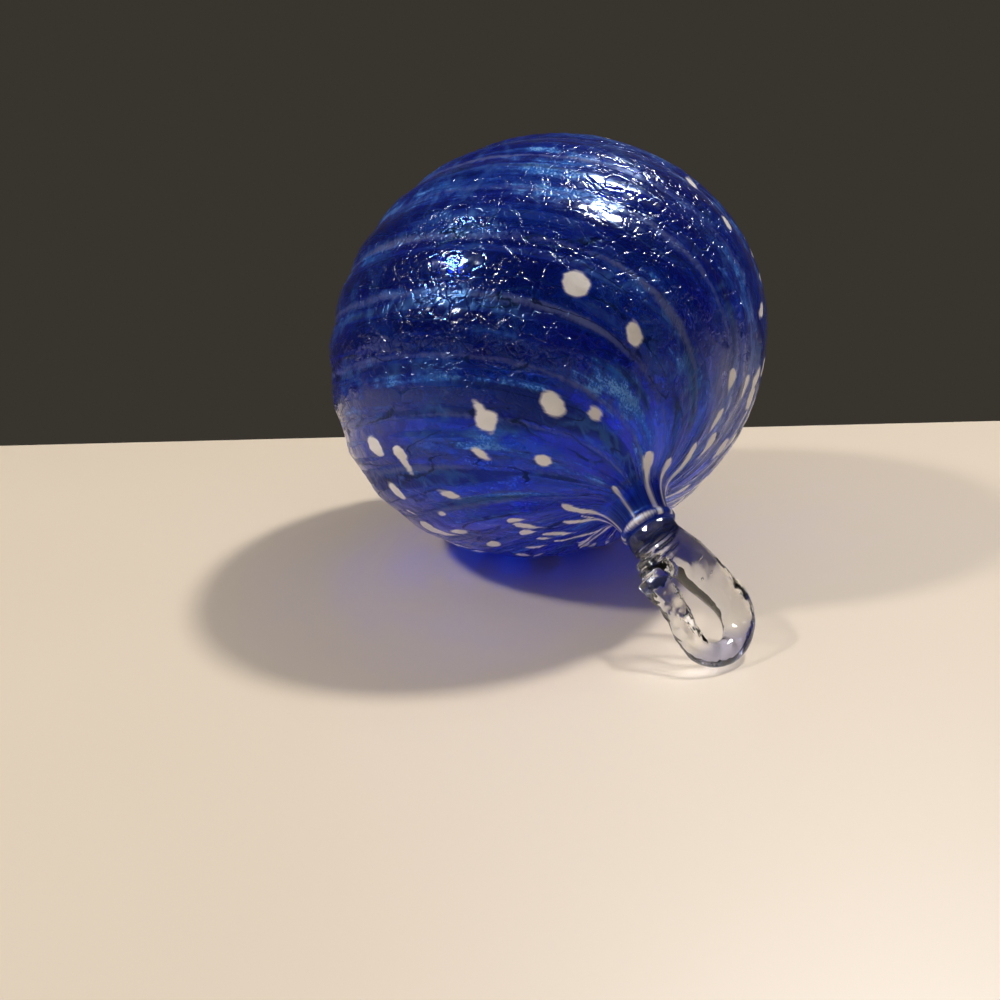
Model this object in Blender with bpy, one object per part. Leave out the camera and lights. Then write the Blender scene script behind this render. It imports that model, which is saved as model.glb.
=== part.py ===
"""Hand-blown glass orb ornament, lying loose on its side on a flat surface.

A twisted-rib ball of cobalt glass is closed at its neck by a bit of clear glass, which is drawn out,
bent round into a hanging loop and pressed back against its own root.
Metres, +Z up. The origin is the middle of the small flat that the ball rests on, and the loop points
along +X, with its tip down on the same surface.
"""

import math

import bmesh
import bpy
from mathutils import Matrix, Vector

# --- the ball, in its own axes: +Z is the neck axis, the origin is its centre ---
BALL_RADIUS = 0.045            # half the widest girth
FAR_POLE = 0.0423              # centre to far pole, a little flat along the axis
NEAR_POLE = 0.0378             # centre to where the flatter neck side would close
RIBS = 16                      # ribs of the optic mould
RIB_DEPTH = 0.00045            # crest to furrow at the girth
RIB_FADE_FAR = math.radians(22.0)   # the ribs die out this close to the far pole
RIB_FADE_NECK = math.radians(30.0)  # and weaken over this turn from the neck
RIB_LEFT_AT_NECK = 0.25             # share of the depth that reaches the groove
TWIST_AT_NECK = 0.70           # turn of a rib about the axis, for each radian from the neck
TWIST_GROWTH = 0.143           # what that grows by, for each squared radian
RING_STEP = math.radians(4.6)  # between rings of the ball
STEPS_PER_RIB = 5              # points round the ball for each rib

# --- neck: shoulder, groove cut by the jacks, lip and cut face ---
SHOULDER_RADIUS = 0.0090       # where the sweep down to the groove leaves the ball
SWEEP_REACH = 0.0006           # how far the sweep's bend stands off the groove and the shoulder
SWEEP_STEPS = 3
GROOVE_RADIUS = 0.0049
GROOVE_HEIGHT = 0.0430
LIP_RADIUS = 0.0055
LIP_HEIGHT = 0.0442
COLLAR_RADIUS = 0.0051
COLLAR_HEIGHT = 0.0447

# --- how it lies ---
NECK_TILT = math.radians(31.0)  # neck axis below the level
FLAT_RADIUS = 0.0056            # small flat that keeps the ball from rolling
LOOP_TILT = math.radians(41.0)  # loop below the level
LOOP_YAW = math.radians(10.0)   # loop turned to +Y of the neck axis
LOOP_ROLL = math.radians(4.0)   # loop's +Y side raised
GLASS_GAP = 0.0003              # between the ball's collar and the loop's root

# --- the hanging loop, in its own axes: along the loop, across it, out of its plane; in mm ---
ROOT_LENGTH = 2.0              # the root leaves the collar square to it
ROOT_RADIUS = 4.9
LOOP_STATIONS = (              # along, across, rise, half width, half thickness
    (4.0, 0.9, 0.3, 4.8, 4.7),
    (7.4, 3.8, 0.2, 4.2, 4.3),
    (11.0, 5.3, 0.2, 3.9, 4.3),
    (14.5, 6.8, 0.1, 3.5, 4.2),
    (18.0, 8.0, -0.1, 3.2, 4.0),
    (21.5, 7.5, -0.4, 3.0, 3.5),
    (24.7, 4.7, -0.7, 2.6, 2.5),
    (25.7, 0.8, -0.8, 2.3, 2.3),
    (24.2, -3.0, -0.6, 2.3, 2.3),
    (20.2, -4.5, -0.2, 2.0, 2.7),
    (16.4, -4.3, 0.1, 2.0, 2.7),
    (12.5, -4.8, 0.3, 2.4, 2.7),
    (7.9, -6.1, 0.4, 2.8, 2.7),
)
LOOP_SIDES = 16
STEPS_BETWEEN_STATIONS = 4
PRESSED_END_AT = (6.8, -3.4, 0.2)    # glass squeezed out where the end is pressed on
PRESSED_END_SIZE = (3.6, 3.4, 3.3)   # its half sizes
MM = 0.001


def clear_scene():
    for item in list(bpy.data.objects):
        bpy.data.objects.remove(item, do_unlink=True)


def glass(name, colour, roughness, transmission):
    material = bpy.data.materials.new(name)
    material.use_nodes = True
    shader = material.node_tree.nodes["Principled BSDF"]
    shader.inputs["Base Color"].default_value = (*colour, 1.0)
    shader.inputs["Roughness"].default_value = roughness
    shader.inputs["Metallic"].default_value = 0.0
    shader.inputs["Transmission Weight"].default_value = transmission
    return material


def add_object(name, mesh_builder, material):
    """Make an object of the finished bmesh, with smooth round faces and crisp edges."""
    mesh = bpy.data.meshes.new(name)
    mesh_builder.to_mesh(mesh)
    mesh_builder.free()
    mesh.materials.append(material)
    mesh.shade_smooth()
    mesh.set_sharp_from_angle(angle=math.radians(40.0))
    item = bpy.data.objects.new(name, mesh)
    bpy.context.collection.objects.link(item)
    return item


def smooth_step(value):
    value = min(max(value, 0.0), 1.0)
    return value * value * (3.0 - 2.0 * value)


# ---------------------------------------------------------------- ball

def ball_point(turn):
    """Radius and height on the plain ball, for a turn from the neck (0) to the far pole (pi)."""
    pole = NEAR_POLE if turn < math.pi / 2 else FAR_POLE
    return BALL_RADIUS * math.sin(turn), pole * math.cos(turn)


def turn_of(radius, height):
    """The turn from the neck that ball_point would need for this radius and height."""
    pole = NEAR_POLE if height > 0 else FAR_POLE
    return math.atan2(radius / BALL_RADIUS, height / pole)


def ball_profile():
    """Outline from the far pole to the middle of the cut face, as (radius, height) pairs."""
    shoulder_turn = math.asin(SHOULDER_RADIUS / BALL_RADIUS)
    rings = round((math.pi - shoulder_turn) / RING_STEP)
    outline = [(0.0, -FAR_POLE)]
    for ring in range(1, rings + 1):
        outline.append(ball_point(math.pi - (math.pi - shoulder_turn) * ring / rings))
    # hollow sweep from the shoulder into the groove
    start = Vector(outline[-1])
    bend = Vector((GROOVE_RADIUS + SWEEP_REACH, start.y + SWEEP_REACH))
    end = Vector((GROOVE_RADIUS, GROOVE_HEIGHT))
    for step in range(1, SWEEP_STEPS + 1):
        part = step / SWEEP_STEPS
        place = start * (1 - part) ** 2 + bend * 2 * part * (1 - part) + end * part ** 2
        outline.append(tuple(place))
    outline.append((LIP_RADIUS, LIP_HEIGHT))
    outline.append((COLLAR_RADIUS, COLLAR_HEIGHT))
    outline.append((0.0, COLLAR_HEIGHT))
    return outline


def rib_strength(turn):
    """1 round the girth, dying out at the far pole and at the neck."""
    fade_far = smooth_step((math.pi - turn) / RIB_FADE_FAR - 0.5)
    fade_neck = smooth_step(turn / RIB_FADE_NECK - 0.25)
    return fade_far * (RIB_LEFT_AT_NECK + (1 - RIB_LEFT_AT_NECK) * fade_neck)


def shape_ribs(mesh_builder):
    """Turn each ring with the twist, then sink the furrows between the ribs."""
    for vertex in mesh_builder.verts:
        radius = math.hypot(vertex.co.x, vertex.co.y)
        if radius < 1e-6:
            continue
        turn = turn_of(radius, vertex.co.z)
        around = math.atan2(vertex.co.y, vertex.co.x)
        twist = TWIST_AT_NECK * turn + TWIST_GROWTH * turn ** 2
        furrow = 0.5 + 0.5 * math.cos(RIBS * around)
        outward = vertex.co.normalized()
        place = vertex.co + outward * RIB_DEPTH * (0.5 - furrow) * rib_strength(turn)
        vertex.co = Matrix.Rotation(twist, 3, "Z") @ place


def ball_centre_height():
    """Height of the ball's centre over its lowest point as it lies."""
    return math.hypot(BALL_RADIUS * math.cos(NECK_TILT), NEAR_POLE * math.sin(NECK_TILT))


def contact_offset():
    """How far behind its centre the lying ball touches the surface."""
    flatness = BALL_RADIUS ** 2 - NEAR_POLE ** 2
    return flatness * math.sin(NECK_TILT) * math.cos(NECK_TILT) / ball_centre_height()


def flat_sagitta():
    """Depth of the cap that the resting flat takes off the ball."""
    return BALL_RADIUS - math.sqrt(BALL_RADIUS ** 2 - FLAT_RADIUS ** 2)


def ball_centre():
    return Vector((contact_offset(), 0.0, ball_centre_height() - flat_sagitta()))


def lay_down():
    """Neck axis from +Z to along +X and down, with the ball's centre at its resting place."""
    return Matrix.Translation(ball_centre()) @ Matrix.Rotation(math.pi / 2 + NECK_TILT, 4, "Y")


def cut_below_surface(mesh_builder):
    """Take off what would reach below the resting surface and close the cut with a flat face."""
    geometry = list(mesh_builder.verts) + list(mesh_builder.edges) + list(mesh_builder.faces)
    cut = bmesh.ops.bisect_plane(
        mesh_builder, geom=geometry, dist=1e-7, plane_co=(0, 0, 0), plane_no=(0, 0, 1), clear_inner=True)
    rim = [item for item in cut["geom_cut"] if isinstance(item, bmesh.types.BMEdge)]
    bmesh.ops.contextual_create(mesh_builder, geom=rim)


def make_orb(material):
    builder = bmesh.new()
    outline = [builder.verts.new((radius, 0.0, height)) for radius, height in ball_profile()]
    edges = [builder.edges.new(pair) for pair in zip(outline, outline[1:])]
    bmesh.ops.spin(builder, geom=outline + edges, cent=(0, 0, 0), axis=(0, 0, 1), angle=2 * math.pi,
                   steps=RIBS * STEPS_PER_RIB, use_merge=True, use_duplicate=False)
    bmesh.ops.remove_doubles(builder, verts=builder.verts, dist=1e-6)
    shape_ribs(builder)
    bmesh.ops.transform(builder, matrix=lay_down(), verts=builder.verts)
    cut_below_surface(builder)
    bmesh.ops.recalc_face_normals(builder, faces=builder.faces)
    return add_object("orb", builder, material)


# ---------------------------------------------------------------- hanging loop

def between(first, second, third, fourth, part):
    """Catmull-Rom value between the second and third of four."""
    return 0.5 * (
        2 * second
        + (third - first) * part
        + (2 * first - 5 * second + 4 * third - fourth) * part ** 2
        + (3 * second - first - 3 * third + fourth) * part ** 3)


def loop_stations():
    """Smooth stations along the loop: place, half width, half thickness, in metres."""
    root_end = root_direction() * ROOT_LENGTH
    rows = [(0.0, 0.0, 0.0, ROOT_RADIUS, ROOT_RADIUS), (*root_end, ROOT_RADIUS, ROOT_RADIUS)]
    rows += LOOP_STATIONS
    rows = [rows[0]] + rows + [rows[-1]]
    stations = []
    for index in range(1, len(rows) - 2):
        for step in range(STEPS_BETWEEN_STATIONS):
            part = step / STEPS_BETWEEN_STATIONS
            quad = zip(rows[index - 1], rows[index], rows[index + 1], rows[index + 2])
            stations.append([between(*values, part) for values in quad])
    stations.append(rows[-1])
    return [(Vector(row[:3]) * MM, row[3] * MM, row[4] * MM) for row in stations]


def ring_places(stations, index):
    """The points of one cross-section, square to the centre line."""
    place, half_width, half_thickness = stations[index]
    ahead = stations[min(index + 1, len(stations) - 1)][0]
    behind = stations[max(index - 1, 0)][0]
    along = (ahead - behind).normalized()
    if index == 0:
        along = root_direction()
    across = Vector((0, 0, 1)).cross(along).normalized()
    upward = along.cross(across)
    places = []
    for side in range(LOOP_SIDES):
        angle = 2 * math.pi * side / LOOP_SIDES
        offset = across * half_width * math.cos(angle) + upward * half_thickness * math.sin(angle)
        places.append(place + offset)
    return places


def loop_frame():
    """Loop axes to the world: root at the ball's collar, plane tilted down to the surface."""
    collar = lay_down() @ Vector((0, 0, COLLAR_HEIGHT + GLASS_GAP))
    turned = Matrix.Rotation(LOOP_YAW, 4, "Z") @ Matrix.Rotation(LOOP_TILT, 4, "Y")
    return Matrix.Translation(collar) @ turned @ Matrix.Rotation(LOOP_ROLL, 4, "X")


def root_direction():
    """The neck axis, as the loop's own axes see it."""
    return loop_frame().to_3x3().inverted() @ lay_down().to_3x3() @ Vector((0, 0, 1))


def drawn_rod():
    """The rod of clear glass, a disc extruded from station to station."""
    builder = bmesh.new()
    stations = loop_stations()
    disc = bmesh.ops.create_circle(builder, cap_ends=True, segments=LOOP_SIDES, radius=1.0)["verts"]
    for vertex, place in zip(disc, ring_places(stations, 0)):
        vertex.co = place
    face = builder.faces[:][0]
    for index in range(1, len(stations)):
        grown = bmesh.ops.extrude_face_region(builder, geom=[face])["geom"]
        if index > 1:
            bmesh.ops.delete(builder, geom=[face], context="FACES_ONLY")
        face = next(item for item in grown if isinstance(item, bmesh.types.BMFace))
        for vertex, place in zip(face.verts, ring_places(stations, index)):
            vertex.co = place
    bmesh.ops.recalc_face_normals(builder, faces=builder.faces)
    return builder


def make_hanging_loop(material):
    builder = drawn_rod()
    bmesh.ops.transform(builder, matrix=loop_frame(), verts=builder.verts)
    cut_below_surface(builder)
    bmesh.ops.recalc_face_normals(builder, faces=builder.faces)
    loop = add_object("hanging_loop", builder, material)

    pad = bmesh.new()
    bmesh.ops.create_uvsphere(pad, u_segments=16, v_segments=10, radius=1.0)
    bmesh.ops.scale(pad, vec=Vector(PRESSED_END_SIZE) * MM, verts=pad.verts)
    middle = Matrix.Translation(Vector(PRESSED_END_AT) * MM)
    bmesh.ops.transform(pad, matrix=loop_frame() @ middle, verts=pad.verts)
    pressed_end = add_object("pressed_end_shape", pad, material)
    pressed_end.hide_render = True
    pressed_end.display_type = "WIRE"

    union = loop.modifiers.new("pressed end fused on", "BOOLEAN")
    union.operation = "UNION"
    union.solver = "EXACT"
    union.object = pressed_end
    return loop


def main():
    clear_scene()
    cobalt = glass("cobalt_glass", (0.012, 0.035, 0.25), 0.08, 0.85)
    clear = glass("clear_glass", (0.93, 0.93, 0.95), 0.02, 1.0)
    make_orb(cobalt)
    make_hanging_loop(clear)


main()
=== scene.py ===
"""Glass orb ornament: a crackled cobalt ball with a drawn clear glass loop, lying on a pale table."""
import math
import random

import bmesh
import bpy
from mathutils import Matrix, Vector, noise


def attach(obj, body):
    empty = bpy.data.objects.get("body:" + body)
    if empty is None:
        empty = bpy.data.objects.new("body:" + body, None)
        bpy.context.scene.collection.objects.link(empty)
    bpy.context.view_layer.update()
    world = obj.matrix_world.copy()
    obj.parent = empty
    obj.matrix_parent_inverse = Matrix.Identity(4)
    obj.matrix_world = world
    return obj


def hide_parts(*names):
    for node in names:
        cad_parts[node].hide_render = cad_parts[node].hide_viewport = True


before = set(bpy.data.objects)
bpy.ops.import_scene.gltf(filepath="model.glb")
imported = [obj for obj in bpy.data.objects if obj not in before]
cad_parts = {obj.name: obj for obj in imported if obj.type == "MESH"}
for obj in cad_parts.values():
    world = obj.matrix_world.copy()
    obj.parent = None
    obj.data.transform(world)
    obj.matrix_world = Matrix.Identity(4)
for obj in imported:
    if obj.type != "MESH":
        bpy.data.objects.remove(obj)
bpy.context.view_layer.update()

MM = 0.001                      # metres
CM = 10.0                       # mm

# --- the blown ball, in mm, in its own axes: neck along +Z, centre at the origin ---
BALL_RADIUS = 45.0
FAR_POLE = 42.3
NEAR_POLE = 37.8
WALL = 2.3
RIBS = 16
RIB_DEPTH = 0.45
DRAWN_RADIUS = 36.0             # of the gather before the twist, whose patterns the blowing drew out
DRAWN_LENGTH = 0.45             # its length along the ribs, as a part of the blown ball's
SHOULDER_RADIUS = 9.0
GROOVE_RADIUS = 4.9
GROOVE_HEIGHT = 43.0
LIP_RADIUS = 5.5
COLLAR_RINGS = (4.6, 3.0, 1.4, 0.0)
COLLAR_HEIGHT = 44.7
NECK_TILT = math.radians(31.0)
FLAT_RADIUS = 5.6

# --- crackle left by the quench: cells that stand up like pillows between fine grooves ---
noise.seed_set(4)               # fixes the warp of the cells, so every run blows the same ball
CELL = 4.2
CELL_WARP = 0.30                # in cells
PILLOW_HEIGHT = 0.10
GROOVE_DEPTH = 0.07
WAVE_HEIGHT = 0.12
PLEAT_HEIGHT = 0.22             # of the folds pinched in beside the neck
CRACKLE_INSET = 0.14            # sets the crackled skin back, so that it stays inside the plain ball
SKIN_INSET = 0.05

# --- how finely the glass is meshed ---
SKIN_STEPS, SKIN_RINGS = ((420, 196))
HOLLOW_STEPS, HOLLOW_RINGS = 96, 48
SHOULDER_RINGS = 12
LIP_RINGS = 8
ROD_SIDES, ROD_STEPS = ((40, 8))
FUSED_VOXEL = 0.25

# --- what each point of the skin keeps for the glass material: values, and places in mm ---
SKIN_VALUES = ("pale_chip", "rib_line", "milk", "thin_colour", "neck", "dusk", "crackle")
SKIN_PLACES = ("drawn", "even")

# --- the drawn loop, in mm, in its own axes: along it, across it, out of its plane ---
LOOP_TILT = math.radians(41.0)
LOOP_YAW = math.radians(10.0)
LOOP_ROLL = math.radians(4.0)
GLASS_GAP = 0.3
ROOT_LENGTH = 2.0
ROOT_RADIUS = 4.9
PAD_PLACE = (6.8, -3.4, 0.2)    # the rod's end, pressed back on its root
PAD_RADII = (3.6, 3.4, 3.3)
BUBBLES = 4
LOOP_STATIONS = (               # along, across, rise, half width, half thickness
    (4.0, 0.9, 0.3, 4.8, 4.7),
    (7.4, 3.8, 0.2, 4.2, 4.3),
    (11.0, 5.3, 0.2, 3.9, 4.3),
    (14.5, 6.8, 0.1, 3.5, 4.2),
    (18.0, 8.0, -0.1, 3.2, 4.0),
    (21.5, 7.5, -0.4, 3.0, 3.5),
    (24.7, 4.7, -0.7, 2.6, 2.5),
    (25.7, 0.8, -0.8, 2.3, 2.3),
    (24.2, -3.0, -0.6, 2.3, 2.3),
    (20.2, -4.5, -0.2, 2.0, 2.7),
    (16.4, -4.3, 0.1, 2.0, 2.7),
    (12.5, -4.8, 0.3, 2.4, 2.7),
    (7.9, -6.1, 0.4, 2.8, 2.7),
)

# --- pale glass melted in, in mm ---
FAR_OFF = -3.0                  # depth given where no pale glass is near
CHIP_REACH = 6.0
STREAK_REACH = 4.0
STREAK_END = 5.3                # turn from the neck, in degrees, where every streak has run out
STREAK_HEAD = 0.22              # part of a streak's length taken up by its round outer end
STREAK_NARROWING = 0.55         # how much of a tailed streak's width is gone at its inner end
STREAK_THINNEST = 0.28
CRESCENT_MIDDLE = 222.0         # degrees round the lip
CRESCENT_HALF = 66.0            # degrees
CRESCENT_HEIGHT = 44.0
CRESCENT_WIDTH = 1.12
CRESCENT_INNER_RADIUS = 4.0

# chips: rib line and turn from the neck in degrees, half width and half length in mm, lean in degrees
CHIPS = (
    (147.2, 64, 2.4, 2.9, -14),
    (151.5, 48, 1.5, 2.7, -7),
    (191.0, 40.8, 1.9, 3.1, -2),
    (186.4, 33, 1.2, 1.8, -16),
    (218.6, 31, 1.4, 1.9, -4),
    (218.6, 44, 1.0, 2.4, 7),
    (199.8, 51.0, 1.0, 2.7, 15),
    (203.4, 48.5, 2.2, 2.2, 0),
    (205.0, 46.8, 0.8, 1.8, 50),
    (212.7, 71, 2.1, 2.8, 0),
    (216.8, 62.8, 1.8, 1.9, 33),
    (222.0, 60.6, 1.0, 2.5, 45),
    (234.0, 63, 1.6, 2.9, 18),
    (238.6, 47, 1.2, 2.4, -9),
    (279.8, 38, 1.3, 2.2, -35),
)
# drawn streaks: longitude and turn of the outer end, then of the inner end, half width in mm, tailed
STREAKS = (
    (268, 19.5, 288, 7.5, 1.00, True),
    (286, 13.5, 306, 8.0, 0.50, True),
    (291, 18.0, 306, 8.0, 0.85, True),
    (287, 32.0, 285, 26.0, 1.05, False),
    (291, 30.5, 296, 21.5, 1.15, False),
    (299, 29.5, 299, 23.8, 1.10, False),
    (304, 24.0, 317, 15.0, 1.10, False),
    (310, 26.2, 314, 21.8, 0.90, False),
    (318, 23.0, 338, 12.0, 0.80, True),
    (336, 21.0, 351, 15.5, 0.65, False),
    (320, 31.8, 321, 24.5, 0.80, False),
    (304, 59.5, 306, 45.5, 2.00, False),
    (321, 57.5, 317, 46.0, 0.90, False),
    (298, 62.5, 299, 57.5, 0.70, False),
    (229, 11.0, 232, 7.3, 0.60, True),
    (185, 17.2, 179, 7.3, 1.15, True),
    (156, 14.8, 146, 7.3, 0.95, True),
    (139, 21.0, 118, 8.5, 1.20, True),
    (126, 26.5, 117, 17.5, 1.20, False),
    (106, 31.5, 101, 23.5, 1.50, False),
    (98, 39.0, 94, 30.0, 1.40, False),
    (135, 31.5, 132, 23.0, 1.10, False),
    (142, 41.0, 138, 34.5, 1.50, False),
    (128, 44.0, 124, 35.5, 1.40, False),
    (121, 47.0, 117, 40.0, 1.20, False),
    (80, 31.5, 66, 18.0, 0.70, True),
)
# milky haze strewn with painted azure glints (+) and clear windows (-): rib line, turn from the neck, half
# sizes in degrees, strength
PATCHES = (
    (171, 39, 8, 12, 0.95),
    (188, 60, 4.5, 19, 1.1),
    (215, 44, 8, 16, 0.8),
    (146, 39, 6, 9, 0.95),
    (243, 36, 5, 11, 1.1),
    (192, 22, 8, 8, 0.3),
    (171, 22, 6, 8, 0.7),
    (168, 59, 9, 9, -1.0),
    (176, 78, 5, 5, -1.2),
    (168, 88, 7, 9, -0.8),
    (96, 92, 9, 14, 0.45),
    (138, 88, 9, 14, -0.8),
    (205, 57, 4, 9, -0.8),
    (142, 48, 5, 5, -0.8),
    (205, 33, 5, 12, -0.8),
    (198, 62, 6, 9, -0.6),
    (221, 50, 4, 8, -0.7),
    (160, 72, 6, 8, -0.5),
    (125, 50, 8, 8, -0.5),
)
# dark purple bands that run with the ribs: rib line, turn from the neck, half sizes in degrees, strength
DUSKY_BANDS = (
    (231, 46, 4.5, 13, 0.9),
    (249, 42, 7, 20, 1.0),
    (226, 22, 7, 8, 0.8),
    (196, 36, 3.5, 10, 0.6),
    (154, 52, 4, 9, 0.6),
    (60, 100, 8, 24, 0.8),
    (320, 60, 9, 20, 0.8),
)
# places where the colour was drawn out thin: rib line, turn from the neck, half sizes in degrees, strength
THIN_PLACES = (
    (100, 36, 32, 20, 1.0),
    (40, 60, 18, 22, 0.7),
    (285, 66, 14, 22, 0.5),
    (206, 97, 15, 13, 0.9),
    (330, 110, 26, 20, 0.7),
    (150, 130, 20, 18, 0.5),
)


# settings that many nodes of the glass share: a soft rise and not a straight one, and a mix of colours
SOFT = {"interpolation_type": "SMOOTHSTEP"}
COLOURS = {"data_type": "RGBA"}


# ---- small helpers

def linear(hex_colour):
    """A linear RGBA tuple from an sRGB hex colour."""
    values = [int(hex_colour[index:index + 2], 16) / 255.0 for index in (0, 2, 4)]
    return tuple(v / 12.92 if v <= 0.04045 else ((v + 0.055) / 1.055) ** 2.4 for v in values) + (1.0,)


def add(tree, kind, sockets=None, **settings):
    """Add a node; a socket takes a plain value, an output, or a node whose first live output feeds it."""
    item = tree.nodes.new("ShaderNode" + kind)
    for name, value in settings.items():
        setattr(item, name, value)
    for name, value in (sockets or {}).items():
        if isinstance(value, bpy.types.Node):
            value = next(output for output in value.outputs if output.enabled)
        if isinstance(value, bpy.types.NodeSocket):
            tree.links.new(value, item.inputs[name])
        else:
            item.inputs[name].default_value = value
    return item


def smooth_step(value, low=0.0, high=1.0):
    """0 below low, 1 above high, and a soft rise between them."""
    value = min(max((value - low) / (high - low), 0.0), 1.0)
    return value * value * (3.0 - 2.0 * value)


def new_material(name):
    material = bpy.data.materials.new(name)
    material.use_nodes = True
    material.node_tree.nodes.clear()
    return material, material.node_tree


def place_mesh(name, builder, materials):
    """A smooth object at the origin, with its place in its mesh."""
    mesh = bpy.data.meshes.new(name)
    builder.to_mesh(mesh)
    builder.free()
    for material in materials:
        mesh.materials.append(material)
    mesh.shade_smooth()
    item = bpy.data.objects.new(name, mesh)
    bpy.context.collection.objects.link(item)
    return item


# ---- where the ball lies

def ball_centre():
    """Where the middle of the tilted ball comes, in mm, when its flat is on the table at the origin."""
    height = math.hypot(BALL_RADIUS * math.cos(NECK_TILT), NEAR_POLE * math.sin(NECK_TILT))
    flatness = BALL_RADIUS ** 2 - NEAR_POLE ** 2
    offset = flatness * math.sin(NECK_TILT) * math.cos(NECK_TILT) / height
    sagitta = BALL_RADIUS - math.sqrt(BALL_RADIUS ** 2 - FLAT_RADIUS ** 2)
    return Vector((offset, 0.0, height - sagitta))


def lay_down():
    """Takes the ball's own axes to the ball as it lies."""
    return Matrix.Translation(ball_centre()) @ Matrix.Rotation(math.pi / 2 + NECK_TILT, 4, "Y")


def ball_point(turn):
    """Radius and height of the plain ball at this turn from the neck."""
    pole = NEAR_POLE if turn < math.pi / 2 else FAR_POLE
    return BALL_RADIUS * math.sin(turn), pole * math.cos(turn)


def twist_at(turn):
    """How far the ribs have turned round the neck axis, at this turn from the neck."""
    return 0.70 * turn + 0.143 * turn ** 2


# ---- what the blower left in the ball

def drawn_place(rib_angle, turn):
    """Where a point sits in the gather before the twist, in mm, so that patterns run along the ribs."""
    along = DRAWN_LENGTH * BALL_RADIUS * turn
    return Vector((DRAWN_RADIUS * math.cos(rib_angle), DRAWN_RADIUS * math.sin(rib_angle), along))


def even_place(longitude, turn):
    """Where a point sits on the blown ball, in mm, with the cap round the neck unrolled into a tube."""
    if turn < math.pi / 2:
        reach, height = 1.0, math.pi / 2 - turn
    else:
        reach, height = math.sin(turn), math.cos(turn)
    return BALL_RADIUS * Vector((reach * math.cos(longitude), reach * math.sin(longitude), height))


def wrap(degrees):
    """The same direction, between -180 and 180 degrees."""
    return (degrees + 180.0) % 360.0 - 180.0


def random_chips():
    """Chips and streaks on the sides that the listed ones leave bare; the streaks follow the twist."""
    chooser = random.Random(7)
    chips = []
    streaks = []
    for _ in range(46):
        rib = chooser.uniform(250, 445) % 360
        turn = chooser.triangular(34, 130, 50)
        width = chooser.uniform(0.7, 2.2)
        chips.append((rib, turn, width, width * chooser.uniform(1.0, 1.9), chooser.uniform(-30, 30)))
    for index in range(13):
        rib = 338 + index * 8.5 + chooser.uniform(-3, 3)
        outer = chooser.uniform(18, 38)
        inner = outer - chooser.uniform(6, 11)
        lean = math.degrees(twist_at(math.radians(outer)) - twist_at(math.radians(inner)))
        streaks.append((rib, outer, rib - lean, inner, chooser.uniform(0.6, 1.2), chooser.random() < 0.6))
    return CHIPS + tuple(chips), STREAKS + tuple(streaks)


ALL_CHIPS, ALL_STREAKS = random_chips()
MM_PER_DEGREE = math.radians(1.0) * BALL_RADIUS


def chip_depth(here, turn_degrees, round_mm):
    """Distance in mm into the nearest oval chip, negative outside."""
    best = FAR_OFF
    for rib, at, half_width, half_length, lean in ALL_CHIPS:
        along = (turn_degrees - at) * MM_PER_DEGREE
        if abs(along) > CHIP_REACH:
            continue
        across = wrap(here - rib - math.degrees(twist_at(math.radians(at)))) * round_mm
        if abs(across) > CHIP_REACH:
            continue
        c, s = math.cos(math.radians(lean)), math.sin(math.radians(lean))
        u, v = (across * c + along * s) / half_width, (along * c - across * s) / half_length
        best = max(best, (1.0 - math.hypot(u, v)) * half_width)
    return best


def streak_depth(here, turn_degrees, round_mm):
    """Distance in mm into the nearest drawn streak, negative outside: a round head, then a taper."""
    best = FAR_OFF
    for outer_at, outer, inner_at, inner, half_width, tail in ALL_STREAKS:
        if not STREAK_END < turn_degrees < outer + 3.0:
            continue
        part = (outer - turn_degrees) / (outer - inner)
        across = abs(wrap(here - outer_at - min(part, 1.1) * wrap(inner_at - outer_at))) * round_mm
        if across > STREAK_REACH:
            continue
        if part < 0.0:
            width = part * (outer - inner) * MM_PER_DEGREE
        elif part <= 1.0:
            rounded = min(part / STREAK_HEAD, 1.0)
            narrowing = 1.0 - (STREAK_NARROWING if tail else 1.0) * smooth_step(part, 0.25, 1.0)
            width = half_width * math.sqrt(rounded * (2.0 - rounded)) * narrowing
        elif tail:
            width = max((1.0 - STREAK_NARROWING) * half_width, STREAK_THINNEST)
        else:
            width = -0.5
        best = max(best, width - across)
    return best


def lip_crescent(rib_degrees, radius, height):
    """Distance in mm into a pale cream crescent on one side of the lip."""
    if radius <= CRESCENT_INNER_RADIUS:
        return FAR_OFF
    along = abs(wrap(rib_degrees - CRESCENT_MIDDLE)) / CRESCENT_HALF
    off_middle = abs(height - CRESCENT_HEIGHT)
    return CRESCENT_WIDTH * (1.0 - along * along) - 0.7 * off_middle - 0.60


def pale_glass(rib_degrees, turn, radius, height):
    """Distance in mm into the nearest pale glass of any kind, negative outside."""
    here = rib_degrees + math.degrees(twist_at(turn))
    round_mm = MM_PER_DEGREE * math.sin(turn)
    found = (
        chip_depth(here, math.degrees(turn), round_mm),
        streak_depth(here, math.degrees(turn), round_mm),
        lip_crescent(rib_degrees, radius, height),
    )
    return max(found)


def spots(places, rib_degrees, turn_degrees):
    """Sum of soft oval spots, each with its own strength."""
    total = 0.0
    for rib, at, round_half, along_half, strength in places:
        u = wrap(rib_degrees - rib) / round_half
        v = (turn_degrees - at) / along_half
        total += strength * math.exp(-(u * u + v * v))
    return total


def milkiness(rib_degrees, turn_degrees, drawn):
    """Clear (-1) to hazy and glittering (+1)."""
    value = 0.75 * noise.noise(drawn * 0.10) + 0.4 * noise.noise(drawn * 0.27 + Vector((9, 4, 2)))
    value += 0.22 * math.cos(RIBS * math.radians(rib_degrees)) - 0.10     # hazier down the furrows
    return value + spots(PATCHES, rib_degrees, turn_degrees)


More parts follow.
